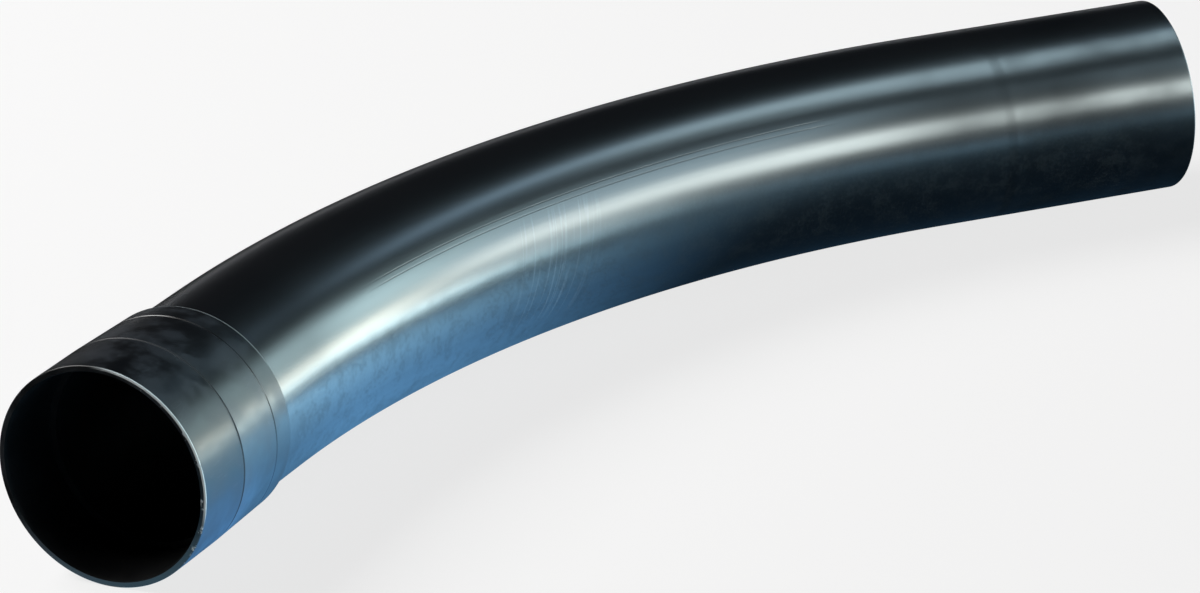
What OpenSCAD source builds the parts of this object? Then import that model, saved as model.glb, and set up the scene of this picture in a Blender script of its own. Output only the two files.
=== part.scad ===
// Long-sweep cable conduit elbow: a heat-bent pipe with a slip coupling pushed on one end.
// Millimetres, lying flat with +Z up.
// Origin: centre of the coupling's stop, on the face that the next conduit butts against.
// +X halves the bend: the socket runs in at plus half the bend angle, the spigot runs out at minus half.

/* [Pipe] */
// Outside diameter of the pipe
pipe_od = 110; // [90:0.5:125]
// Wall thickness of the pipe
pipe_wall = 3.2; // [2:0.1:6]
// Bevel on the outer edge of the pipe's cut ends
cut_bevel = 0.8; // [0.3:0.1:1.5]

/* [Bend] */
// Angle between the two straight ends
bend_angle = 45; // [11.25:11.25:90]
// Radius of the bend, at the pipe's centreline
bend_radius = 660; // [400:10:1000]
// Straight stretch at the socket end, from the cut end to the start of the bend
socket_straight = 88; // [70:1:200]
// Straight stretch at the spigot end
spigot_straight = 144; // [70:1:300]

/* [Coupling] */
// Depth of each of the coupling's two sockets
socket_depth = 42; // [36:0.5:60]
// Width of the stop ring between the sockets
stop_width = 4; // [2:0.5:8]
// Wall of the coupling from its mouth to the first ring
mouth_wall = 3.85; // [3:0.05:7]
// Wall of the coupling at its rear edge, after the taper
rear_wall = 2.7; // [2.2:0.05:3]
// Bevel on the coupling's outer edges
lip_bevel = 0.6; // [0.2:0.1:0.9]
// Length of the lead-in inside each mouth
lead_in_length = 3; // [1:0.5:6]
// How much each lead-in widens the mouth's radius
lead_in_rise = 0.9; // [0.3:0.1:1.2]
// Distance from the mouth to the first ring, where the taper starts
first_ring = 38.5; // [20:0.5:45]
// Distance from the mouth to the second ring
second_ring = 73; // [50:0.5:78]
// Depth of the two rings
ring_depth = 0.35; // [0.1:0.05:0.8]
// Width of the two rings
ring_width = 1.2; // [0.5:0.1:3]

/* [Fits] */
// Radial gap between a pipe and the coupling's socket
slip_gap = 0.25; // [0.1:0.05:0.4]
// Gap between the pipe's cut end and the stop
seat_gap = 0.3; // [0.1:0.1:1]

/* [Hidden] */
$fn = 128;
pipe_r = pipe_od / 2;
bore_r = pipe_r - pipe_wall;
socket_r = pipe_r + slip_gap;
mouth_r = socket_r + mouth_wall;
rear_r = socket_r + rear_wall;
mouth_x = -socket_depth;
rear_x = stop_width + socket_depth;
first_ring_x = mouth_x + first_ring;
second_ring_x = mouth_x + second_ring;
pipe_start = stop_width + seat_gap;
bend_start = pipe_start + socket_straight;
half_angle = bend_angle / 2;
bend_centre = [
    bend_start * cos(half_angle) + bend_radius * sin(half_angle),
    bend_start * sin(half_angle) - bend_radius * cos(half_angle),
    0
];
// Each half of the bend turns this many degrees past the middle before it is trimmed there
overrun = 1;
// Length that reaches past either end of the pipe from the middle of the bend
reach = bend_radius + max(socket_straight, spigot_straight) + pipe_od;

// Outer radius of the coupling at x: straight to the first ring, then a taper to the rear edge
function skin_r(x) = x <= first_ring_x
    ? mouth_r
    : mouth_r - (mouth_r - rear_r) * (x - first_ring_x) / (rear_x - first_ring_x);

// The three points of a ring pressed into the coupling's skin at x
function ring_points(x) = [
    [x - ring_width / 2, skin_r(x - ring_width / 2)],
    [x, skin_r(x) - ring_depth],
    [x + ring_width / 2, skin_r(x + ring_width / 2)]
];

// Revolves a profile of [x, radius] points about the X axis, starting at the bend's outer side
module revolve_x(points) {
    rotate([0, 90, 0])
        rotate([0, 0, 90])
            rotate_extrude()
                polygon([for (p = points) [p[1], p[0]]]);
}

// One end of the pipe with its half of the bend, about the bend's centre and short of its middle plane
module half_pipe(straight_length) {
    intersection() {
        rotate([0, 0, half_angle]) {
            translate([-straight_length, bend_radius, 0])
                revolve_x([
                    [0, bore_r],
                    [0, pipe_r - cut_bevel],
                    [cut_bevel, pipe_r],
                    [straight_length, pipe_r],
                    [straight_length, bore_r]
                ]);
            rotate_extrude(angle = half_angle + overrun, start = 90 - half_angle - overrun)
                translate([bend_radius, 0])
                    difference() {
                        circle(pipe_r);
                        circle(bore_r);
                    }
        }
        translate([-reach, -reach, -pipe_od])
            cube([reach, 2 * reach, 2 * pipe_od]);
    }
}

module bend_pipe() {
    color("#14171c")
        translate(bend_centre) {
            half_pipe(socket_straight);
            mirror([1, 0, 0])
                half_pipe(spigot_straight);
        }
}

module slip_coupling() {
    color("#1b1f25")
        rotate([0, 0, half_angle])
            revolve_x(concat(
                [[mouth_x, mouth_r - lip_bevel], [mouth_x + lip_bevel, mouth_r]],
                ring_points(first_ring_x),
                ring_points(second_ring_x),
                [[rear_x - lip_bevel, skin_r(rear_x - lip_bevel)], [rear_x, rear_r - lip_bevel]],
                [[rear_x, socket_r + lead_in_rise], [rear_x - lead_in_length, socket_r]],
                [[stop_width, socket_r], [stop_width, bore_r], [0, bore_r], [0, socket_r]],
                [[mouth_x + lead_in_length, socket_r], [mouth_x, socket_r + lead_in_rise]]
            ));
}

bend_pipe();
slip_coupling();
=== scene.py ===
"""Looks of a long-sweep conduit elbow: a heat-bent pipe with a slip coupling pushed on one end."""
import logging
import math
from collections.abc import Iterable
from dataclasses import dataclass
from enum import Enum
from functools import cached_property

import bmesh
import bpy
from mathutils import Matrix, Vector


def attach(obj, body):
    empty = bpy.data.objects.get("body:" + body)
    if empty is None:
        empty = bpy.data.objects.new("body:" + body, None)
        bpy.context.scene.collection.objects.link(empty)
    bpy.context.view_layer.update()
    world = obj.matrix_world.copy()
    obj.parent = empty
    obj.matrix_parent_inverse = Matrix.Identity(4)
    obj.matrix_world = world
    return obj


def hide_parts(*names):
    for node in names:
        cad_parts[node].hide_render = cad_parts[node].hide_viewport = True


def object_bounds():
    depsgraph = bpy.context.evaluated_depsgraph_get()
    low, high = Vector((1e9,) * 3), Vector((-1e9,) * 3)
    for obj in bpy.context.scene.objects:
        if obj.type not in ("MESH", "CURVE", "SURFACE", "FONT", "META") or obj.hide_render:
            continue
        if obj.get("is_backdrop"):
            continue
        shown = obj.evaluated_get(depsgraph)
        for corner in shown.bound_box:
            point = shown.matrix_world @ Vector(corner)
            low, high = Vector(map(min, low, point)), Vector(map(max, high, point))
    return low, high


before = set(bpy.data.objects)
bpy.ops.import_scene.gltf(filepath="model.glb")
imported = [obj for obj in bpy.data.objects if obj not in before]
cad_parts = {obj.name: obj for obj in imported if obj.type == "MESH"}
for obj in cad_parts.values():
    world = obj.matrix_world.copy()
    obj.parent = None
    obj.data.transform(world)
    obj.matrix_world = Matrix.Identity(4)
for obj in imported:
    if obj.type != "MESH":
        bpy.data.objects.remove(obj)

CAD_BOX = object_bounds()
LOG = logging.getLogger("conduit_elbow")
UP = Vector((0.0, 0.0, 1.0))
BLACK = (0.0, 0.0, 0.0, 1.0)
WHITE = (1.0, 1.0, 1.0, 1.0)
# The mesh attribute that holds a piece's straightened skin
SKIN = "skin"
# Edges that turn more than this stay crisp
CREASE = math.radians(26.0)
# Faces across the rounding of a lip or a cut end
ROUND_STEPS = 4
# Distances, in metres, at which two points are one and a point lies on a line
MERGE = 1e-6
TOUCH = 1e-5
# The middle value of a noise, and how much finer a mottle's speckle is than its clouds
MIDDLE = 0.5
SPECKLE_STEP = 6.0
# Numbers of a colour Mix node's inputs and of its output
MIX_FACTOR = 0
MIX_FIRST = 6
MIX_SECOND = 7
MIX_RESULT = 2

Socket = bpy.types.NodeSocket
Sockets = bpy.types.bpy_prop_collection
Feed = Socket | float | tuple
Colour = tuple[float, float, float, float]
Triple = tuple[float, float, float]
Span = tuple[float, float]
Ring = list[bmesh.types.BMVert | bmesh.types.BMEdge | bmesh.types.BMFace]
Feeds = dict[str | int, Feed]


class Body(Enum):
    """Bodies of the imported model."""

    PIPE = "pipe"
    COUPLING = "coupling"


class Slot(Enum):
    """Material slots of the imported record."""

    PIPE = "pipe_plastic"
    COUPLING = "coupling_plastic"


@dataclass(frozen=True)
class Zone:
    """A stretch between two values, and how far it fades out past them."""

    low: float
    high: float
    fade: float

    def in_radians(self) -> "Zone":
        """The same stretch, turned from degrees into radians."""
        return Zone(math.radians(self.low), math.radians(self.high), math.radians(self.fade))


@dataclass(frozen=True)
class Sweep:
    """The pipe's centreline: a straight, a bend in the XY plane and a straight, in metres and degrees."""

    angle: float = 45.0
    radius: float = 0.660
    start: float = 0.0043
    socket_straight: float = 0.088
    spigot_straight: float = 0.144

    @property
    def half(self) -> float:
        """Half the bend's angle, in radians."""
        return math.radians(self.angle / 2)

    @property
    def run_in(self) -> Vector:
        """Direction of the socket's straight, away from the mouth."""
        return Vector((math.cos(self.half), math.sin(self.half), 0.0))

    @property
    def run_out(self) -> Vector:
        """Direction of the spigot's straight, towards its cut end."""
        return Vector((math.cos(self.half), -math.sin(self.half), 0.0))

    @property
    def bend_start(self) -> float:
        """Distance along the centreline at which the bend starts."""
        return self.start + self.socket_straight

    @property
    def centre(self) -> Vector:
        """Centre of the bend."""
        return self.bend_start * self.run_in + self.radius * self.run_in.cross(UP)

    def locate(self, point: Vector) -> tuple[float, float]:
        """Finds a point of a round wall along and across the centreline.

        Args:
            point: A point on or near the pipe.

        Returns:
            The distance along the centreline, and the distance from it towards the bend's inner side.
        """
        arm = point - self.centre
        swept = self.half + math.atan2(arm.x, arm.y)
        turned = min(max(swept, 0.0), 2 * self.half)
        run = Matrix.Rotation(-turned, 3, "Z") @ self.run_in
        inward = run.cross(UP)
        offset = point - (self.centre - self.radius * inward)
        return self.bend_start + turned * self.radius + offset.dot(run), offset.dot(inward)


@dataclass
class Wiring:
    """Adds, sets and links the nodes of one shader tree."""

    tree: bpy.types.NodeTree

    def node(self, kind: str, feeds: Feeds | None = None, **settings: object) -> bpy.types.Node:
        """Adds a node.

        Args:
            kind: The node's type name.
            feeds: A value or a socket for each named or numbered input.
            settings: Properties of the node.

        Returns:
            The new node.
        """
        new = self.tree.nodes.new(kind)
        for name, value in settings.items():
            setattr(new, name, value)
        for key, value in (feeds or {}).items():
            self.feed(new.inputs[key], value)
        return new

    def feed(self, into: Socket, value: Feed) -> None:
        """Links a socket into an input, or sets the input's own value.

        Args:
            into: The input.
            value: The socket to link, or the value to set.
        """
        if isinstance(value, Socket):
            self.tree.links.new(value, into)
        else:
            into.default_value = value

    def group(self, tree: bpy.types.NodeTree, feeds: Feeds) -> Socket:
        """Places a node group that has one output, and returns that output."""
        return self.node("ShaderNodeGroup", feeds, node_tree=tree).outputs[0]

    def math(self, operation: str, *values: Feed, clamp: bool = False) -> Socket:
        """Adds a Math node and returns its result, kept between 0 and 1 where clamp is set."""
        feeds = dict(enumerate(values))
        return self.node("ShaderNodeMath", feeds, operation=operation, use_clamp=clamp).outputs[0]

    def add_shares(self, start: Feed, shares: Iterable[tuple[Socket, Feed]], clamp: bool = False) -> Socket:
        """Adds shares of several masks to a value, one after the other.

        Args:
            start: The value before any share.
            shares: Each mask with its share.
            clamp: Whether each sum is kept between 0 and 1.

        Returns:
            The sum.
        """
        total = start
        for mask, share in shares:
            total = self.math("MULTIPLY_ADD", mask, share, total, clamp=clamp)
        return total

    def remap(self, value: Feed, low: Feed, high: Feed, to_low: Feed = 0.0, to_high: Feed = 1.0) -> Socket:
        """Maps a value from low and high onto to_low and to_high, with soft ends, and returns the result."""
        feeds = {"Value": value, "From Min": low, "From Max": high, "To Min": to_low, "To Max": to_high}
        return self.node("ShaderNodeMapRange", feeds, interpolation_type="SMOOTHSTEP").outputs["Result"]

    def noise(self, vector: Socket, scale: Feed, detail: float, roughness: float) -> Socket:
        """Adds a noise texture and returns its value."""
        feeds = {"Vector": vector, "Scale": scale, "Detail": detail, "Roughness": roughness}
        return self.node("ShaderNodeTexNoise", feeds).outputs["Fac"]

    def stretch(self, vector: Socket, scale: Triple) -> Socket:
        """Scales a vector by axis and returns it."""
        return self.node("ShaderNodeVectorMath", {0: vector, 1: scale}, operation="MULTIPLY").outputs[0]

    def blend(self, factor: Feed, first: Feed, second: Feed) -> Socket:
        """Mixes two colours and returns the result."""
        feeds = {MIX_FACTOR: factor, MIX_FIRST: first, MIX_SECOND: second}
        return self.node("ShaderNodeMix", feeds, data_type="RGBA").outputs[MIX_RESULT]

    def bump(self, height: Socket) -> Socket:
        """Turns a height in metres into a normal."""
        feeds = {"Height": height, "Distance": 1.0, "Strength": 1.0}
        return self.node("ShaderNodeBump", feeds).outputs[0]


def start_group(name: str, inputs: dict[str, str], output: str) -> tuple[Wiring, Sockets, Socket]:
    """Starts a shader node group with one value as its output.

    Args:
        name: The group's name.
        inputs: Socket type by input name.
        output: The output's name.

    Returns:
        The group's wiring, its inputs by name, and its output.
    """
    tree = bpy.data.node_groups.new(name, "ShaderNodeTree")
    for label, kind in inputs.items():
        tree.interface.new_socket(label, in_out="INPUT", socket_type=kind)
    tree.interface.new_socket(output, in_out="OUTPUT", socket_type="NodeSocketFloat")
    entry = tree.nodes.new("NodeGroupInput")
    leave = tree.nodes.new("NodeGroupOutput")
    return Wiring(tree), entry.outputs, leave.inputs[output]


def start_material(name: str) -> tuple[bpy.types.Material, Wiring, Sockets]:
    """Starts a material.

    Args:
        name: The material's name.

    Returns:
        The material, its wiring, and its shader's inputs by name.
    """
    made = bpy.data.materials.new(name)
    made.use_nodes = True
    return made, Wiring(made.node_tree), made.node_tree.nodes["Principled BSDF"].inputs


@dataclass(frozen=True)
class Effects:
    """Shader node groups that the materials share."""

    window: bpy.types.NodeTree
    mottle: bpy.types.NodeTree
    hairlines: bpy.types.NodeTree

    @classmethod
    def make(cls) -> "Effects":
        """Builds the groups once."""
        return cls(cls._window(), cls._mottle(), cls._hairlines())

    def band(self, w: Wiring, value: Socket, zone: Zone) -> Socket:
        """Masks the stretch of a value that a zone covers."""
        return w.group(self.window, {"Value": value, "Low": zone.low, "High": zone.high, "Fade": zone.fade})

    @staticmethod
    def _window() -> bpy.types.NodeTree:
        """Builds a mask that is 1 between two values and fades outside them.

        Returns:
            The group.
        """
        inputs = dict.fromkeys(("Value", "Low", "High", "Fade"), "NodeSocketFloat")
        w, ins, out = start_group("Soft window", inputs, "Mask")
        below = w.math("SUBTRACT", ins["Low"], ins["Fade"])
        above = w.math("ADD", ins["High"], ins["Fade"])
        rise = w.remap(ins["Value"], below, ins["Low"])
        fall = w.remap(ins["Value"], ins["High"], above, 1.0, 0.0)
        w.feed(out, w.math("MULTIPLY", rise, fall))
        return w.tree

    @staticmethod
    def _mottle() -> bpy.types.NodeTree:
        """Builds cloudy patches with a finer speckle in them.

        Returns:
            The group.
        """
        inputs = {"Vector": "NodeSocketVector", "Scale": "NodeSocketFloat", "Speckle": "NodeSocketFloat"}
        w, ins, out = start_group("Plastic mottle", inputs, "Value")
        clouds = w.noise(ins["Vector"], ins["Scale"], detail=2.0, roughness=0.5)
        fine_scale = w.math("MULTIPLY", ins["Scale"], SPECKLE_STEP)
        fine = w.noise(ins["Vector"], fine_scale, detail=0.0, roughness=0.5)
        lift = w.math("MULTIPLY", w.math("SUBTRACT", fine, MIDDLE), ins["Speckle"])
        w.feed(out, w.math("ADD", clouds, lift, clamp=True))
        return w.tree

    @staticmethod
    def _hairlines() -> bpy.types.NodeTree:
        """Builds thin broken lines where a stretched noise passes its middle value.

        Returns:
            The group.
        """
        inputs = {"Vector": "NodeSocketVector", "Width": "NodeSocketFloat"}
        w, ins, out = start_group("Hairlines", inputs, "Mask")
        value = w.noise(ins["Vector"], 1.0, detail=2.0, roughness=0.5)
        ridge = w.math("ABSOLUTE", w.math("SUBTRACT", value, MIDDLE))
        w.feed(out, w.remap(ridge, 0.0, ins["Width"], 1.0, 0.0))
        return w.tree


@dataclass(frozen=True)
class SkinMap:
    """The straightened skin of a round piece, for one material."""

    w: Wiring
    effects: Effects
    place: Socket
    along: Socket
    side: Socket
    height: Socket

    @classmethod
    def read(cls, w: Wiring, effects: Effects) -> "SkinMap":
        """Reads the skin's attribute.

        Args:
            w: The wiring of the material.
            effects: The shared shader groups.

        Returns:
            The skin.
        """
        place = w.node("ShaderNodeAttribute", attribute_name=SKIN).outputs["Vector"]
        parts = w.node("ShaderNodeSeparateXYZ", {0: place}).outputs
        return cls(w, effects, place, *parts)

    @cached_property
    def angle(self) -> Socket:
        """Angle up from the bend's inner side, in radians."""
        return self.w.math("ARCTAN2", self.height, self.side)

    @cached_property
    def radius(self) -> Socket:
        """Distance from the centreline."""
        squares = [self.w.math("POWER", part, 2.0) for part in (self.side, self.height)]
        return self.w.math("SQRT", self.w.math("ADD", *squares))

    def band(self, zone: Zone) -> Socket:
        """Masks a stretch along the piece."""
        return self.effects.band(self.w, self.along, zone)

    def arc(self, zone: Zone) -> Socket:
        """Masks part of the piece's round, in degrees up from the bend's inner side."""
        return self.effects.band(self.w, self.angle, zone.in_radians())

    def patch(self, along: Zone, around: Zone) -> Socket:
        """Masks a patch of the skin, along and around the piece."""
        return self.w.math("MULTIPLY", self.band(along), self.arc(around))

    def clouds(self, scale: float, speckle: float = 0.0) -> Socket:
        """Makes cloudy patches, with a share of finer speckle."""
        return self.w.group(self.effects.mottle, {"Vector": self.place, "Scale": scale, "Speckle": speckle})

    def grain(self, scale: Triple, detail: float, roughness: float) -> Socket:
        """Makes a noise that is drawn out along the piece."""
        return self.w.noise(self.w.stretch(self.place, scale), 1.0, detail, roughness)

    def lines(self, scale: Triple, width: float, shift: Socket | None = None) -> Socket:
        """Makes hairlines.

        Args:
            scale: How the lines are stretched by axis.
            width: How wide the lines are.
            shift: How far each place is moved along the piece first.

        Returns:
            The mask of the lines.
        """
        place = self.place
        if shift is not None:
            offset = self.w.node("ShaderNodeCombineXYZ", {0: shift}).outputs[0]
            place = self.w.node("ShaderNodeVectorMath", {0: place, 1: offset}, operation="ADD").outputs[0]
        feeds = {"Vector": self.w.stretch(place, scale), "Width": width}
        return self.w.group(self.effects.hairlines, feeds)


@dataclass(frozen=True)
class PipePlastic:
    """Glossy extruded black plastic with die lines, stretch marks in the bend and a blotchy spigot.

    Places along the pipe and heights are in metres, places around it in degrees. The coat and the roughness
    that a trace is given are added to the plain skin's.
    """

    name: str = "pipe_gloss_plastic"
    colour: Colour = (0.0014, 0.0017, 0.0024, 1.0)
    worn: Colour = (0.030, 0.036, 0.042, 1.0)
    dusty: Colour = (0.0085, 0.0105, 0.0120, 1.0)
    whitened: Colour = (0.038, 0.046, 0.054, 1.0)
    shine: float = 0.5
    roughness: Span = (0.28, 0.31)
    coat_roughness: float = 0.25
    coat_full: float = 1.2
    cloud_scale: float = 14.0
    cloud_span: Span = (0.25, 0.75)
    wave_scale: Triple = (11.0, 26.0, 26.0)
    wave_height: float = 0.00020
    die_scale: Triple = (1.5, 200.0, 200.0)
    die_coat: float = -0.5
    die_height: float = 0.000010
    marks_along: Zone = Zone(0.296, 0.326, 0.026)
    marks_around: Zone = Zone(-24.0, 26.0, 12.0)
    marks_lean: float = 0.020
    marks_scale: Triple = (190.0, 9.0, 9.0)
    marks_width: float = 0.075
    marks_height: float = 0.000016
    streaks_along: Zone = Zone(0.190, 0.500, 0.040)
    streaks_around: Zone = Zone(30.0, 44.0, 5.0)
    streaks_scale: Triple = (5.0, 330.0, 330.0)
    streaks_height: float = 0.00010
    grooves_at: Span = (36.0, 39.5)
    groove_width: float = 0.16
    groove_fade: float = 0.35
    grooves_coat: float = -1.2
    grooves_height: float = -0.00010
    dust_along: Zone = Zone(0.080, 0.700, 0.080)
    dust_around: Zone = Zone(-50.0, 8.0, 14.0)
    dust_scale: float = 90.0
    dust_speckle: float = 0.5
    dust_span: Span = (0.38, 0.72)
    dust_coat: float = -0.45
    blotches_along: Zone = Zone(0.600, 0.760, 0.030)
    blotches_scale: float = 34.0
    blotches_coat: float = -2.0
    ring: Zone = Zone(0.6390, 0.6425, 0.003)
    ring_coat: float = -0.60
    dull: Zone = Zone(0.652, 0.800, 0.012)
    dull_coat: float = -0.40
    seam: Zone = Zone(0.0460, 0.0474, 0.0006)
    seam_roughness: float = 0.35
    cut: Zone = Zone(0.7540, 0.7560, 0.0004)
    cut_roughness: float = 0.25

    def material(self, effects: Effects) -> bpy.types.Material:
        """Builds the material.

        Args:
            effects: The shared shader groups.

        Returns:
            The finished material.
        """
        made, w, inputs = start_material(self.name)
        inputs["Specular IOR Level"].default_value = self.shine
        inputs["Coat Roughness"].default_value = self.coat_roughness
        skin = SkinMap.read(w, effects)
        die_lines = skin.grain(self.die_scale, detail=2.0, roughness=0.6)
        marks = self._stretch_marks(skin)
        grooves = self._grooves(skin)
        dust = self._dust(skin)
        cut = skin.band(self.cut)

        tone = w.blend(dust, w.blend(cut, self.colour, self.worn), self.dusty)
        w.feed(inputs["Base Color"], w.blend(marks, tone, self.whitened))

        rough = w.remap(skin.clouds(self.cloud_scale), *self.cloud_span, *self.roughness)
        dulled = ((cut, self.cut_roughness), (skin.band(self.seam), self.seam_roughness))
        w.feed(inputs["Roughness"], w.add_shares(rough, dulled))

        coat = w.math("MULTIPLY_ADD", die_lines, self.die_coat, self.coat_full)
        lost = (
            (skin.band(self.ring), self.ring_coat),
            (skin.band(self.dull), self.dull_coat),
            (self._blotches(skin), self.blotches_coat),
            (grooves, self.grooves_coat),
            (dust, self.dust_coat),
        )
        w.feed(inputs["Coat Weight"], w.add_shares(coat, lost, clamp=True))

        waves = skin.grain(self.wave_scale, detail=0.0, roughness=0.4)
        relief = (
            (marks, self.marks_height),
            (self._streaks(skin), self.streaks_height),
            (grooves, self.grooves_height),
            (die_lines, self.die_height),
        )
        height = w.add_shares(w.math("MULTIPLY", waves, self.wave_height), relief)
        w.feed(inputs["Normal"], w.bump(height))
        return made

    def _stretch_marks(self, skin: SkinMap) -> Socket:
        """Masks the pale leaning lines on the inner side of the bend.

        Args:
            skin: The pipe's skin.

        Returns:
            The mask.
        """
        w = skin.w
        lean = w.math("MULTIPLY", skin.angle, -self.marks_lean)
        zone = skin.effects.band(w, w.math("ADD", skin.along, lean), self.marks_along)
        area = w.math("MULTIPLY", zone, skin.arc(self.marks_around))
        return w.math("MULTIPLY", area, skin.lines(self.marks_scale, self.marks_width, shift=lean))

    def _streaks(self, skin: SkinMap) -> Socket:
        """Masks fine streaks along the upper side of the bend."""
        area = skin.patch(self.streaks_along, self.streaks_around)
        return skin.w.math("MULTIPLY", area, skin.grain(self.streaks_scale, detail=2.0, roughness=0.5))

    def _grooves(self, skin: SkinMap) -> Socket:
        """Masks the two grooves among the streaks.

        Args:
            skin: The pipe's skin.

        Returns:
            The mask.
        """
        zone = skin.band(self.streaks_along)
        half = self.groove_width / 2
        arcs = [skin.arc(Zone(at - half, at + half, self.groove_fade)) for at in self.grooves_at]
        return skin.w.add_shares(0.0, [(zone, arc) for arc in arcs])

    def _dust(self, skin: SkinMap) -> Socket:
        """Masks the dust on the lower side of the bend."""
        specks = skin.w.remap(skin.clouds(self.dust_scale, self.dust_speckle), *self.dust_span)
        return skin.w.math("MULTIPLY", skin.patch(self.dust_along, self.dust_around), specks)

    def _blotches(self, skin: SkinMap) -> Socket:
        """Makes blotches near the spigot's end, about 0 on average."""
        patches = skin.w.math("SUBTRACT", skin.clouds(self.blotches_scale), MIDDLE)
        return skin.w.math("MULTIPLY", skin.band(self.blotches_along), patches)


@dataclass(frozen=True)
class CouplingPlastic:
    """Satin moulded black plastic, mottled, with a nicked rim at the mouth and painted highlights on its lip
    and along the rear edge.

    Places along the coupling, radii and heights are in metres, places around it in degrees.
    """

    name: str = "coupling_satin_plastic"
    colour: Colour = (0.0016, 0.0020, 0.0028, 1.0)
    faded: Colour = (0.0095, 0.0115, 0.0150, 1.0)
    # Pale colour of rubs and nicks, which also paints the highlights on the mouth's lip and the rear edge
    worn: Colour = (0.52, 0.56, 0.57, 1.0)
    shine: float = 0.45
    roughness: Span = (0.29, 0.44)
    coat_roughness: float = 0.28
    coat_full: float = 0.45
    coat_patches: Span = (1.1, 0.7)
    dull_to_bright: Span = (-0.0045, -0.0025)
    cloud_scale: float = 60.0
    cloud_speckle: float = 0.06
    cloud_span: Span = (0.30, 0.70)
    faded_span: Span = (0.42, 0.66)
    wave_scale: float = 45.0
    wave_height: float = 0.00012
    rubs_scale: Triple = (30.0, 190.0, 190.0)
    rubs_width: float = 0.010
    rubs_span: Span = (0.45, 0.60)
    rubs_wear: float = 0.02
    mouth_edge: Zone = Zone(-0.0430, -0.0415, 0.0004)
    # Painted highlight: the mouth's outer lip is painted pale on the side where the light falls
    mouth_lip: Zone = Zone(0.0581, 0.0595, 0.0003)
    lip_around: Zone = Zone(-5.0, 75.0, 18.0)
    lip_highlight: float = 1.0
    # Nicks at the mouth: real chips dented by the bump, whose pale colour is kept to the rim's lit side,
    # where it also paints glints
    nicks_around: Zone = Zone(-35.0, 60.0, 20.0)
    nicks_scale: float = 150.0
    nicks_span: Span = (0.60, 0.68)
    nick_wear_and_glints: float = 0.8
    nicks_height: float = -0.0003
    # Painted highlight: a pale line along the top of the rear edge, where it catches the light
    rear_edge: Zone = Zone(0.0453, 0.0470, 0.0003)
    rear_around: Zone = Zone(40.0, 110.0, 12.0)
    rear_highlight: float = 0.35
    ring: Zone = Zone(-0.0041, -0.0029, 0.0003)
    ring_roughness: float = 0.40

    def material(self, effects: Effects) -> bpy.types.Material:
        """Builds the material.

        Args:
            effects: The shared shader groups.

        Returns:
            The finished material.
        """
        made, w, inputs = start_material(self.name)
        inputs["Specular IOR Level"].default_value = self.shine
        inputs["Coat Roughness"].default_value = self.coat_roughness
        skin = SkinMap.read(w, effects)
        cloud = skin.clouds(self.cloud_scale, self.cloud_speckle)
        rim = skin.band(self.mouth_edge)
        nicks = self._nicks(skin, rim)

        tone = w.blend(w.remap(cloud, *self.faded_span), self.colour, self.faded)
        # Base colour: the pale colour marks rubs and nicks, and paints highlights on the mouth's lip and the
        # rear edge's top
        w.feed(inputs["Base Color"], w.blend(self._wear_and_highlights(skin, cloud, rim, nicks), tone, self.worn))

        rough = w.remap(cloud, *self.cloud_span, *self.roughness)
        w.feed(inputs["Roughness"], w.add_shares(rough, [(skin.band(self.ring), self.ring_roughness)]))

        coat = w.remap(skin.along, *self.dull_to_bright, 0.0, self.coat_full)
        patches = w.remap(cloud, *self.cloud_span, *self.coat_patches)
        w.feed(inputs["Coat Weight"], w.math("MULTIPLY", coat, patches))

        waves = w.noise(skin.place, self.wave_scale, detail=1.0, roughness=0.4)
        height = w.add_shares(w.math("MULTIPLY", waves, self.wave_height), [(nicks, self.nicks_height)])
        w.feed(inputs["Normal"], w.bump(height))
        return made

    def _nicks(self, skin: SkinMap, rim: Socket) -> Socket:
        """Masks the small nicks at the mouth, kept to the rim's lit side, where their pale colour also
        paints glints.

        Args:
            skin: The coupling's skin.
            rim: The mask of the mouth's edge.

        Returns:
            The mask.
        """
        w = skin.w
        chips = w.remap(w.noise(skin.place, self.nicks_scale, detail=3.0, roughness=0.6), *self.nicks_span)
        return w.math("MULTIPLY", w.math("MULTIPLY", rim, chips), skin.arc(self.nicks_around))

    def _wear_and_highlights(self, skin: SkinMap, cloud: Socket, rim: Socket, nicks: Socket) -> Socket:
        """Masks the places that take the pale colour: rubs, nicks, and the painted highlights on the mouth's
        lip and the rear edge.

        Args:
            skin: The coupling's skin.
            cloud: The cloudy patches.
            rim: The mask of the mouth's edge.
            nicks: The mask of the nicks.

        Returns:
            The mask.
        """
        w = skin.w
        rubs = skin.lines(self.rubs_scale, self.rubs_width)
        wear = w.math("MULTIPLY", rubs, w.remap(cloud, *self.rubs_span, 0.0, self.rubs_wear))
        # Painted highlight along the lit side of the mouth's outer lip
        lip = w.math("MULTIPLY", rim, skin.effects.band(w, skin.radius, self.mouth_lip))
        bright = w.math("MULTIPLY", lip, skin.arc(self.lip_around))
        # Painted highlight along the top of the rear edge
        rear = skin.patch(self.rear_edge, self.rear_around)
        shares = ((nicks, self.nick_wear_and_glints), (bright, self.lip_highlight), (rear, self.rear_highlight))
        return w.add_shares(wear, shares, clamp=True)


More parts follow.
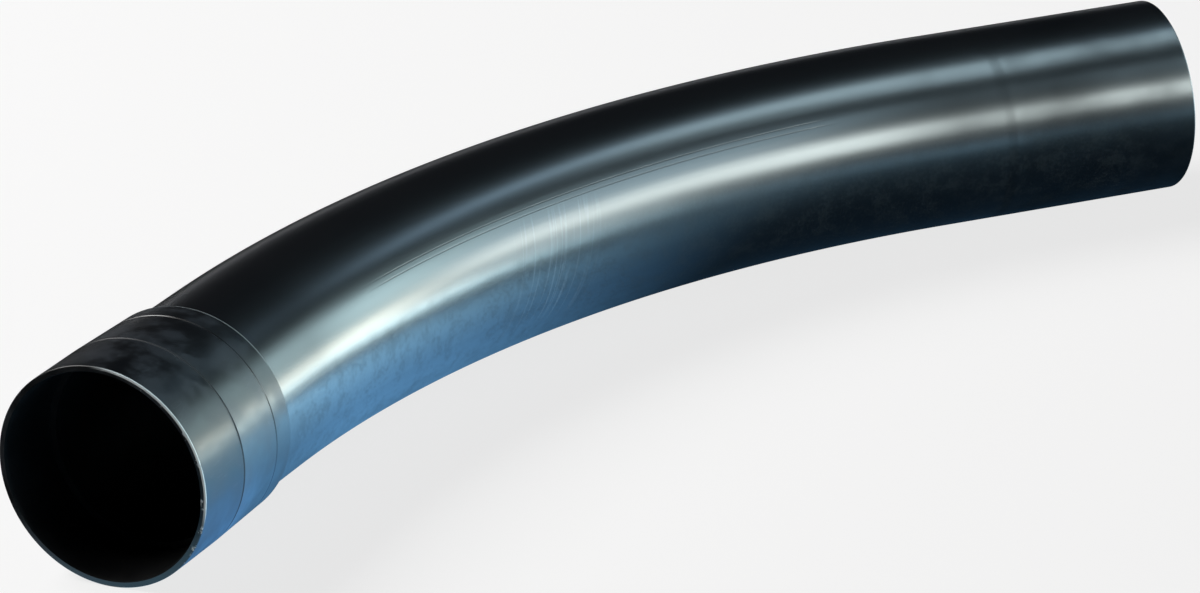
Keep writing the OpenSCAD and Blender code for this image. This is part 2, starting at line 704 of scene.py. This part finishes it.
@dataclass(frozen=True)
class BorePlastic:
    """Dull black plastic of the inside walls, with faint die lines."""

    name: str = "bore_dull_plastic"
    colour: Colour = (0.0014, 0.0016, 0.0021, 1.0)
    dusty: Colour = (0.0030, 0.0033, 0.0040, 1.0)
    shine: float = 0.20
    roughness: Span = (0.47, 0.60)
    cloud_scale: float = 20.0
    cloud_speckle: float = 0.4
    cloud_span: Span = (0.25, 0.75)
    dusty_span: Span = (0.4, 0.8)
    die_scale: Triple = (3.0, 500.0, 500.0)
    die_height: float = 0.000006

    def material(self, effects: Effects) -> bpy.types.Material:
        """Builds the material.

        Args:
            effects: The shared shader groups.

        Returns:
            The finished material.
        """
        made, w, inputs = start_material(self.name)
        inputs["Specular IOR Level"].default_value = self.shine
        skin = SkinMap.read(w, effects)
        cloud = skin.clouds(self.cloud_scale, self.cloud_speckle)
        w.feed(inputs["Base Color"], w.blend(w.remap(cloud, *self.dusty_span), self.colour, self.dusty))
        w.feed(inputs["Roughness"], w.remap(cloud, *self.cloud_span, *self.roughness))
        die_lines = skin.grain(self.die_scale, detail=2.0, roughness=0.5)
        w.feed(inputs["Normal"], w.bump(w.math("MULTIPLY", die_lines, self.die_height)))
        return made


def finish_mesh(bm: bmesh.types.BMesh, name: str, sweep: Sweep, lining: float) -> bpy.types.Object:
    """Makes a round piece a smooth object that carries its straightened skin as an attribute.

    Args:
        bm: The finished shape, which is freed.
        name: The piece's name.
        sweep: The centreline that the piece follows.
        lining: Radius inside which the faces take the second material.

    Returns:
        The new object, at the origin.
    """
    for face in bm.faces:
        middle = face.calc_center_median()
        _, side = sweep.locate(middle)
        face.material_index = 1 if math.hypot(side, middle.z) < lining else 0
    straight = []
    for vert in bm.verts:
        straight += [*sweep.locate(vert.co), vert.co.z]
    mesh = bpy.data.meshes.new(name)
    bm.to_mesh(mesh)
    bm.free()
    mesh.attributes.new(SKIN, "FLOAT_VECTOR", "POINT").data.foreach_set("vector", straight)
    mesh.polygons.foreach_set("use_smooth", [True] * len(mesh.polygons))
    mesh.set_sharp_from_angle(angle=CREASE)
    made = bpy.data.objects.new(name, mesh)
    weighting = made.modifiers.new("Weighted normal", "WEIGHTED_NORMAL")
    weighting.keep_sharp = True
    bpy.context.scene.collection.objects.link(made)
    return made


def round_edges(bm: bmesh.types.BMesh, edges: list[bmesh.types.BMEdge], width: float) -> None:
    """Rounds some edges of a shape.

    Args:
        bm: The shape.
        edges: The edges.
        width: How far the rounding reaches onto each side.
    """
    bmesh.ops.bevel(
        bm, geom=edges, offset=width, offset_type="OFFSET",
        affect="EDGES", segments=ROUND_STEPS, profile=0.5, material=-1,
    )


@dataclass
class BentPipe:
    """The pipe: one length of tube with a plain straight at each end of its bend."""

    sweep: Sweep
    name: str = "swept_pipe"
    outside: float = 0.110
    wall: float = 0.0032
    edge: float = 0.0008
    lining_share: float = 0.8
    segments: int = 160
    straight_steps: int = 6
    bend_steps: int = 90

    def _section(self, bm: bmesh.types.BMesh) -> Ring:
        """Draws the cut end at the socket as a flat ring of faces.

        Args:
            bm: The empty shape.

        Returns:
            The ring's vertices, edges and faces.
        """
        across = self.sweep.run_in.cross(UP)
        turn = Matrix((across, UP, -self.sweep.run_in)).transposed().to_4x4()
        middle = self.sweep.start * self.sweep.run_in
        spot = Matrix.Translation(middle) @ turn
        bmesh.ops.create_circle(bm, segments=self.segments, radius=self.outside / 2, matrix=spot)
        made = bmesh.ops.extrude_edge_only(bm, edges=bm.edges[:])["geom"]
        verts = [item for item in made if isinstance(item, bmesh.types.BMVert)]
        share = 1.0 - 2 * self.wall / self.outside
        bmesh.ops.scale(bm, vec=(share, share, share), space=Matrix.Translation(-middle), verts=verts)
        return bm.verts[:] + bm.edges[:] + bm.faces[:]

    def _pull(self, bm: bmesh.types.BMesh, ring: Ring, run: Vector) -> Ring:
        """Extrudes a flat ring straight, in equal steps.

        Args:
            bm: The shape.
            ring: The ring's vertices, edges and faces.
            run: How far and which way it goes in all.

        Returns:
            The last ring's vertices, edges and faces.
        """
        for _ in range(self.straight_steps):
            ring = bmesh.ops.extrude_face_region(bm, geom=ring)["geom"]
            verts = [item for item in ring if isinstance(item, bmesh.types.BMVert)]
            bmesh.ops.translate(bm, verts=verts, vec=run / self.straight_steps)
        return ring

    def _outer_rim(self, ring: Ring) -> list[bmesh.types.BMEdge]:
        """Finds the outer edges of a flat ring.

        Args:
            ring: The ring's vertices, edges and faces.

        Returns:
            The edges.
        """
        verts = [item for item in ring if isinstance(item, bmesh.types.BMVert)]
        middle = sum((vert.co for vert in verts), Vector()) / len(verts)
        reach = self.outside / 2 - self.wall / 2
        outer = {vert for vert in verts if (vert.co - middle).length > reach}
        edges = [item for item in ring if isinstance(item, bmesh.types.BMEdge)]
        return [edge for edge in edges if outer.issuperset(edge.verts)]

    def build(self) -> bpy.types.Object:
        """Builds the pipe's mesh.

        Returns:
            The pipe's object.
        """
        bm = bmesh.new()
        first = self._section(bm)
        ring = self._pull(bm, first, self.sweep.run_in * self.sweep.socket_straight)
        ring = bmesh.ops.spin(
            bm, geom=ring, cent=self.sweep.centre, axis=UP,
            angle=-2 * self.sweep.half, steps=self.bend_steps,
        )["geom_last"]
        last = self._pull(bm, ring, self.sweep.run_out * self.sweep.spigot_straight)
        bmesh.ops.recalc_face_normals(bm, faces=bm.faces)
        round_edges(bm, self._outer_rim(first) + self._outer_rim(last), self.edge)
        return finish_mesh(bm, self.name, self.sweep, self.outside / 2 - self.lining_share * self.wall)

    def dress(self, piece: bpy.types.Object, skin: bpy.types.Material, bore: bpy.types.Material) -> None:
        """Gives the pipe its plastics and ties it to the frame.

        Args:
            piece: The pipe's object.
            skin: The plastic of its outside.
            bore: The plastic of its inside.
        """
        piece.data.materials.append(skin)
        piece.data.materials.append(bore)
        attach(piece, Body.PIPE.value)
        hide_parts("bend_pipe")


@dataclass
class SlipCoupling:
    """The coupling: a turned sleeve with two sockets, a stop ring between them and two rings outside."""

    sweep: Sweep
    name: str = "coupling_sleeve"
    mouth: float = -0.042
    rear: float = 0.046
    stop: float = 0.004
    socket: float = 0.05525
    bore: float = 0.0518
    mouth_radius: float = 0.0591
    rear_radius: float = 0.05795
    first_ring: float = -0.0035
    second_ring: float = 0.031
    ring_depth: float = 0.00035
    ring_width: float = 0.0012
    lead_in: float = 0.003
    lead_rise: float = 0.0009
    edge: float = 0.0006
    lining_share: float = 0.8
    segments: int = 192

    def _skin(self, along: float) -> float:
        """Finds the outer radius, without the rings.

        Args:
            along: A distance along the axis.

        Returns:
            The radius there.
        """
        if along <= self.first_ring:
            return self.mouth_radius
        share = (along - self.first_ring) / (self.rear - self.first_ring)
        return self.mouth_radius + (self.rear_radius - self.mouth_radius) * share

    def _profile(self) -> list[Span]:
        """Lists the corners of the sleeve's section.

        Returns:
            Each corner's distance along the axis and its radius.
        """
        half = self.ring_width / 2
        corners = [(self.mouth, self.mouth_radius)]
        for ring in (self.first_ring, self.second_ring):
            corners.append((ring - half, self._skin(ring - half)))
            corners.append((ring, self._skin(ring) - self.ring_depth))
            corners.append((ring + half, self._skin(ring + half)))
        corners += [
            (self.rear, self.rear_radius),
            (self.rear, self.socket + self.lead_rise),
            (self.rear - self.lead_in, self.socket),
            (self.stop, self.socket),
            (self.stop, self.bore),
            (0.0, self.bore),
            (0.0, self.socket),
            (self.mouth + self.lead_in, self.socket),
            (self.mouth, self.socket + self.lead_rise),
        ]
        return corners

    def _on_lip(self, edge: bmesh.types.BMEdge) -> bool:
        """Says whether an edge runs around one of the two outer lips.

        Args:
            edge: The edge.

        Returns:
            Whether both of its ends lie on a lip.
        """
        axis = self.sweep.run_in
        lips = ((self.mouth, self.mouth_radius), (self.rear, self.rear_radius))
        for vert in edge.verts:
            along = vert.co.dot(axis)
            radius = (vert.co - along * axis).length
            if not any(abs(along - at) < TOUCH and abs(radius - size) < TOUCH for at, size in lips):
                return False
        return True

    def build(self) -> bpy.types.Object:
        """Builds the coupling's mesh.

        Returns:
            The coupling's object.
        """
        bm = bmesh.new()
        axis = self.sweep.run_in
        verts = [bm.verts.new(along * axis + radius * UP) for along, radius in self._profile()]
        edges = [bm.edges.new((verts[i - 1], verts[i])) for i in range(len(verts))]
        bmesh.ops.spin(
            bm, geom=verts + edges, cent=Vector((0.0, 0.0, 0.0)), axis=axis,
            angle=math.tau, steps=self.segments, use_merge=True,
        )
        bmesh.ops.remove_doubles(bm, verts=bm.verts, dist=MERGE)
        bmesh.ops.recalc_face_normals(bm, faces=bm.faces)
        round_edges(bm, [edge for edge in bm.edges if self._on_lip(edge)], self.edge)
        return finish_mesh(bm, self.name, self.sweep, self.socket + self.lining_share * self.lead_rise)

    def dress(self, piece: bpy.types.Object, skin: bpy.types.Material, bore: bpy.types.Material) -> None:
        """Gives the coupling its plastics and ties it to the frame.

        Args:
            piece: The coupling's object.
            skin: The plastic of its outside.
            bore: The plastic of its inside.
        """
        piece.data.materials.append(skin)
        piece.data.materials.append(bore)
        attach(piece, Body.COUPLING.value)
        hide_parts("slip_coupling")


@dataclass(frozen=True)
class Softbox:
    """A lamp: its middle, the point it faces, its width and height, and its glow in red, green and blue."""

    name: str
    middle: Triple
    faces: Triple
    size: Span
    glow: Triple
    lights_floor: bool = False

    def hang(self, pieces: bpy.types.Collection) -> None:
        """Adds the lamp, with its width level.

        Args:
            pieces: The object's pieces, which alone are lit by a lamp that leaves out the floor.
        """
        strength = max(self.glow)
        lamp = bpy.data.lights.new(self.name, "AREA")
        lamp.shape = "RECTANGLE"
        lamp.size, lamp.size_y = self.size
        lamp.energy = math.pi * lamp.size * lamp.size_y * strength
        lamp.color = [share / strength for share in self.glow]
        made = bpy.data.objects.new(self.name, lamp)
        aim = Vector(self.faces) - Vector(self.middle)
        made.rotation_euler = aim.to_track_quat("-Z", "Y").to_euler()
        made.location = self.middle
        made.visible_camera = False
        if not self.lights_floor:
            made.light_linking.receiver_collection = pieces
        bpy.context.scene.collection.objects.link(made)


@dataclass(frozen=True)
class FloorCard:
    """A card that paints a dark reflection: it lies on the floor between two corners, soft at its edges, and
    only reflections see it.
    """

    name: str
    low: Span
    high: Span
    fade: float = 0.050
    level: float = -0.0578

    def lay(self, effects: Effects) -> None:
        """Adds the card.

        Args:
            effects: The shared shader groups.
        """
        low, high = Vector(self.low), Vector(self.high)
        bm = bmesh.new()
        middle = Matrix.Translation(((low + high) / 2).to_3d() + self.level * UP)
        stretch = Matrix.Diagonal((*((high - low) / 2), 1.0, 1.0))
        bmesh.ops.create_grid(bm, x_segments=1, y_segments=1, size=1.0, matrix=middle @ stretch)
        mesh = bpy.data.meshes.new(self.name)
        bm.to_mesh(mesh)
        bm.free()
        mesh.materials.append(self._material(effects))
        card = bpy.data.objects.new(self.name, mesh)
        # Only glossy rays see the card, so it paints reflections on the pieces and nothing else
        card.visible_camera = False
        card.visible_diffuse = False
        card.visible_transmission = False
        card.visible_shadow = False
        bpy.context.scene.collection.objects.link(card)
        card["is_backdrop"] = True

    def _material(self, effects: Effects) -> bpy.types.Material:
        """Builds the card's surface, which fades out at its edges.

        Args:
            effects: The shared shader groups.

        Returns:
            The finished material.
        """
        made, w, inputs = start_material(self.name)
        inputs["Base Color"].default_value = BLACK
        inputs["Specular IOR Level"].default_value = 0.0
        inputs["Emission Strength"].default_value = 1.0
        place = w.node("ShaderNodeTexCoord").outputs["Object"]
        glow, mask = self._surface(w, effects, place)
        w.feed(inputs["Emission Color"], glow)
        w.feed(inputs["Alpha"], mask)
        return made

    def _surface(self, w: Wiring, effects: Effects, place: Socket) -> tuple[Feed, Socket]:
        """Makes a card with no glow of its own.

        Args:
            w: The wiring of the material.
            effects: The shared shader groups.
            place: The place on the card.

        Returns:
            The card's glow and its mask.
        """
        parts = w.node("ShaderNodeSeparateXYZ", {0: place}).outputs
        masks = []
        for part, low, high in zip(parts, self.low, self.high):
            masks.append(effects.band(w, part, Zone(low + self.fade, high - self.fade, self.fade)))
        return BLACK, w.math("MULTIPLY", *masks)


@dataclass(frozen=True)
class BendCard(FloorCard):
    """A glowing card that follows the bend's inner side and paints reflections: cool at the socket end, dark
    at the spigot end.

    A lean says how far a change along the bend moves for each metre away from it.
    """

    sweep: Sweep = Sweep()
    # Colours of the painted reflection: under the coupling's mouth, near the bend and further out
    glow_mouth: Colour = (0.66, 1.86, 3.80, 1.0)
    glow_near: Colour = (0.35, 0.95, 1.75, 1.0)
    glow_out: Colour = (1.60, 3.40, 5.00, 1.0)
    near_to_out: Span = (0.05, 0.19)
    under_to_near: Span = (0.015, 0.075)
    under_share: float = 0.3
    mouth_to_near: Span = (-0.006, 0.012)
    mouth_lean: float = -1.2
    dim_to_cool: Span = (0.06, 0.13)
    dim_share: float = 0.68
    cool_to_dark: Span = (0.22, 0.46)
    dark_lean: float = -0.45
    dark_share: float = 0.03
    across: Span = (-0.020, 0.320)
    ends: Span = (0.0, 0.80)

    def _surface(self, w: Wiring, effects: Effects, place: Socket) -> tuple[Feed, Socket]:
        """Makes a glow that changes along and across the bend.

        Args:
            w: The wiring of the material.
            effects: The shared shader groups.
            place: The place on the card.

        Returns:
            The card's glow and its mask.
        """
        forth = w.node("ShaderNodeSeparateXYZ", {0: place}).outputs[0]
        centre = (self.sweep.centre.x, self.sweep.centre.y, self.level)
        arm = w.node("ShaderNodeVectorMath", {0: place, 1: centre}, operation="DISTANCE").outputs["Value"]
        side = w.math("SUBTRACT", self.sweep.radius, arm)
        ahead = w.math("MULTIPLY_ADD", side, self.mouth_lean, forth)
        onward = w.math("MULTIPLY_ADD", side, self.dark_lean, forth)

        near = w.blend(w.remap(ahead, *self.mouth_to_near), self.glow_mouth, self.glow_near)
        glow = w.blend(w.remap(side, *self.near_to_out), near, self.glow_out)
        strength = w.remap(ahead, *self.dim_to_cool, self.dim_share, 1.0)
        strength = w.math("MULTIPLY", strength, w.remap(onward, *self.cool_to_dark, 1.0, 0.0))
        strength = w.math("MULTIPLY", strength, w.remap(side, *self.under_to_near, self.under_share, 1.0))
        strength = w.math("MAXIMUM", strength, self.dark_share)
        light = w.node("ShaderNodeVectorMath", {0: glow, "Scale": strength}, operation="SCALE").outputs[0]

        inside = effects.band(w, side, Zone(*self.across, self.fade))
        return light, w.math("MULTIPLY", inside, effects.band(w, forth, Zone(*self.ends, self.fade)))


@dataclass(frozen=True)
class FarCard(FloorCard):
    """A wide glowing card in front of the bend that paints reflections: cool beside it, and darker towards
    the viewer's side.
    """

    glow_near: Colour = (0.80, 1.50, 2.00, 1.0)
    glow_far: Colour = (0.05, 0.12, 0.28, 1.0)
    near_to_far: Span = (-0.5, -2.8)

    def _surface(self, w: Wiring, effects: Effects, place: Socket) -> tuple[Feed, Socket]:
        """Makes a glow that changes with the distance in front.

        Args:
            w: The wiring of the material.
            effects: The shared shader groups.
            place: The place on the card.

        Returns:
            The card's glow and its mask.
        """
        _, mask = super()._surface(w, effects, place)
        front = w.node("ShaderNodeSeparateXYZ", {0: place}).outputs[1]
        near, far = self.near_to_far
        feeds = {"Value": front, "From Min": near, "From Max": far}
        share = w.node("ShaderNodeMapRange", feeds).outputs["Result"]
        return w.blend(share, self.glow_near, self.glow_far), mask


@dataclass
class Studio:
    """The floor, the soft lamps, the dim room and the camera."""

    floor_level: float = -0.0591
    floor_side: float = 60.0
    floor_colour: Colour = (0.82, 0.82, 0.82, 1.0)
    floor_roughness: float = 0.9
    white_span: Span = (0.9, 3.0)
    white_least: float = 0.78
    room_dark: Colour = (0.007, 0.008, 0.010, 1.0)
    room_pale: Colour = (0.30, 0.32, 0.35, 1.0)
    pale_to_dark: Span = (0.03, 0.08)
    eye: Triple = (-1.361338, -1.932799, 0.973888)
    turn: Triple = (68.906, 2.766, -41.836)
    lens: float = 152.739
    sensor: float = 36.0
    lamps: tuple[Softbox, ...] = (
        Softbox(
            "front_left", middle=(1.09, -2.5, 0.95), faces=(1.09, 0.0, 0.95),
            size=(0.82, 0.74), glow=(14.2, 16.2, 16.0),
        ),
        Softbox(
            "front_strip", middle=(2.85, -2.5, 1.03), faces=(2.85, 0.0, 1.03),
            size=(2.70, 0.70), glow=(10.2, 11.6, 11.4),
        ),
        Softbox(
            "front_fill", middle=(3.10, -2.5, 0.27), faces=(3.10, 0.0, 0.27),
            size=(2.60, 0.62), glow=(2.8, 3.7, 4.0),
        ),
        Softbox(
            "front_far", middle=(8.0, -2.5, 0.47), faces=(8.0, 0.0, 0.47),
            size=(6.2, 0.90), glow=(13.6, 14.2, 12.6),
        ),
        Softbox(
            "wash_near", middle=(2.95, -2.5, 2.30), faces=(2.95, 0.0, 2.30),
            size=(3.1, 1.80), glow=(2.5, 3.6, 4.2),
        ),
        Softbox(
            "wash_far", middle=(7.75, -2.5, 2.45), faces=(7.75, 0.0, 2.45),
            size=(6.5, 2.70), glow=(3.6, 5.2, 5.5),
        ),
        Softbox(
            "wash_end", middle=(6.0, -1.4, 2.2), faces=(0.2, 0.05, 0.0),
            size=(2.0, 1.20), glow=(2.0, 2.8, 3.0),
        ),
        Softbox(
            "top_near", middle=(1.40, -0.31, 2.0), faces=(1.40, -0.31, 0.0),
            size=(0.65, 0.46), glow=(4.2, 5.8, 6.5),
        ),
        Softbox(
            "top_front", middle=(1.15, -0.62, 2.0), faces=(1.15, -0.62, 0.0),
            size=(0.34, 0.24), glow=(4.6, 6.3, 7.1),
        ),
        Softbox(
            "top_far", middle=(2.17, -0.12, 2.0), faces=(2.17, -0.12, 0.0),
            size=(1.05, 0.30), glow=(1.7, 2.7, 3.6),
        ),
        Softbox(
            "pale_low", middle=(1.55, -0.65, -0.058), faces=(1.55, -0.65, 1.0),
            size=(1.30, 0.70), glow=(6.8, 11.8, 14.0),
        ),
        Softbox(
            "glint_low", middle=(1.25, -0.48, -0.02), faces=(0.13, 0.0, -0.02),
            size=(0.50, 0.07), glow=(10.0, 11.3, 10.3),
        ),
        Softbox(
            "back_top", middle=(-0.90, 1.90, 2.20), faces=(0.35, 0.0, 0.0),
            size=(2.40, 1.60), glow=(9.4, 9.3, 9.2), lights_floor=True,
        ),
    )

    def _floor(self) -> None:
        """Lays the pale floor under the object."""
        bm = bmesh.new()
        bmesh.ops.create_grid(bm, x_segments=1, y_segments=1, size=self.floor_side / 2)
        bmesh.ops.translate(bm, verts=bm.verts, vec=self.floor_level * UP)
        mesh = bpy.data.meshes.new("floor")
        bm.to_mesh(mesh)
        bm.free()
        mesh.materials.append(self._paper())
        floor = bpy.data.objects.new("floor", mesh)
        bpy.context.scene.collection.objects.link(floor)
        floor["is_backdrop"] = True

    def _paper(self) -> bpy.types.Material:
        """Builds the floor's paper, which shows as white with the object's shadow on it.

        Returns:
            The finished material.
        """
        made, w, inputs = start_material("floor_paper")
        inputs["Base Color"].default_value = self.floor_colour
        inputs["Roughness"].default_value = self.floor_roughness
        inputs["Specular IOR Level"].default_value = 0.0
        white = w.node("ShaderNodeEmission", {"Color": WHITE, "Strength": 1.0})
        ray = w.node("ShaderNodeLightPath").outputs
        seen = w.math("MAXIMUM", ray["Is Camera Ray"], ray["Is Glossy Ray"])
        seen = w.math("MAXIMUM", seen, ray["Is Transmission Ray"])
        spot = w.node("ShaderNodeTexCoord").outputs["Object"]
        reach = w.node("ShaderNodeVectorMath", {0: spot}, operation="LENGTH").outputs["Value"]
        share = w.math("MULTIPLY", seen, w.remap(reach, *self.white_span, self.white_least))
        nodes = made.node_tree.nodes
        paper = nodes["Principled BSDF"].outputs[0]
        mix = w.node("ShaderNodeMixShader", {0: share, 1: paper, 2: white.outputs[0]})
        w.feed(nodes["Material Output"].inputs["Surface"], mix.outputs[0])
        return made

    def _room(self) -> None:
        """Lights the world as a dim room that is pale only near the horizon."""
        world = bpy.data.worlds.new("studio_room")
        bpy.context.scene.world = world
        world.use_nodes = True
        w = Wiring(world.node_tree)
        back = world.node_tree.nodes["Background"]
        ray = w.node("ShaderNodeTexCoord").outputs["Generated"]
        height = w.node("ShaderNodeSeparateXYZ", {0: ray}).outputs[2]
        colour = w.blend(w.remap(height, *self.pale_to_dark), self.room_pale, self.room_dark)
        w.feed(back.inputs["Color"], colour)

    def _camera(self) -> None:
        """Stands the camera where the photograph was taken from."""
        data = bpy.data.cameras.new("view")
        data.lens = self.lens
        data.sensor_width = self.sensor
        made = bpy.data.objects.new("view", data)
        made.location = self.eye
        made.rotation_euler = [math.radians(angle) for angle in self.turn]
        bpy.context.scene.collection.objects.link(made)
        bpy.context.scene.camera = made

    def set_up(self, pieces: bpy.types.Collection) -> None:
        """Builds the whole studio.

        Args:
            pieces: The object's pieces.
        """
        self._floor()
        self._room()
        self._camera()
        for lamp in self.lamps:
            lamp.hang(pieces)
        bpy.context.scene.view_settings.view_transform = "Standard"


def main() -> None:
    """Builds the elbow's two pieces and the studio around them."""
    logging.basicConfig(level=logging.INFO, format="%(name)s: %(message)s")
    sweep = Sweep()
    effects = Effects.make()
    bore = BorePlastic().material(effects)
    pieces = bpy.data.collections.new("lit_pieces")
    for maker, finish in ((BentPipe(sweep), PipePlastic()), (SlipCoupling(sweep), CouplingPlastic())):
        piece = maker.build()
        maker.dress(piece, finish.material(effects), bore)
        pieces.objects.link(piece)
        LOG.info("%s: %d faces", piece.name, len(piece.data.polygons))
    # Cards that only reflections see: painted cool and dark reflections on the pieces' lower sides
    cards = (
        BendCard("bend_card", low=(-0.06, -0.45), high=(0.88, 0.12), sweep=sweep),
        FloorCard("mouth_card", low=(-0.80, -0.40), high=(-0.065, 0.40)),
        FloorCard("back_card", low=(-0.80, 0.10), high=(5.0, 6.0)),
        FarCard("far_card", low=(-0.60, -6.0), high=(2.60, 0.10), fade=0.15, level=-0.0586),
    )
    for card in cards:
        card.lay(effects)
    Studio().set_up(pieces)
    boxes = {"cad": CAD_BOX, "visual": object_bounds()}
    {name: [list(corner) for corner in box] for name, box in boxes.items()}


if __name__ == "__main__":
    main()
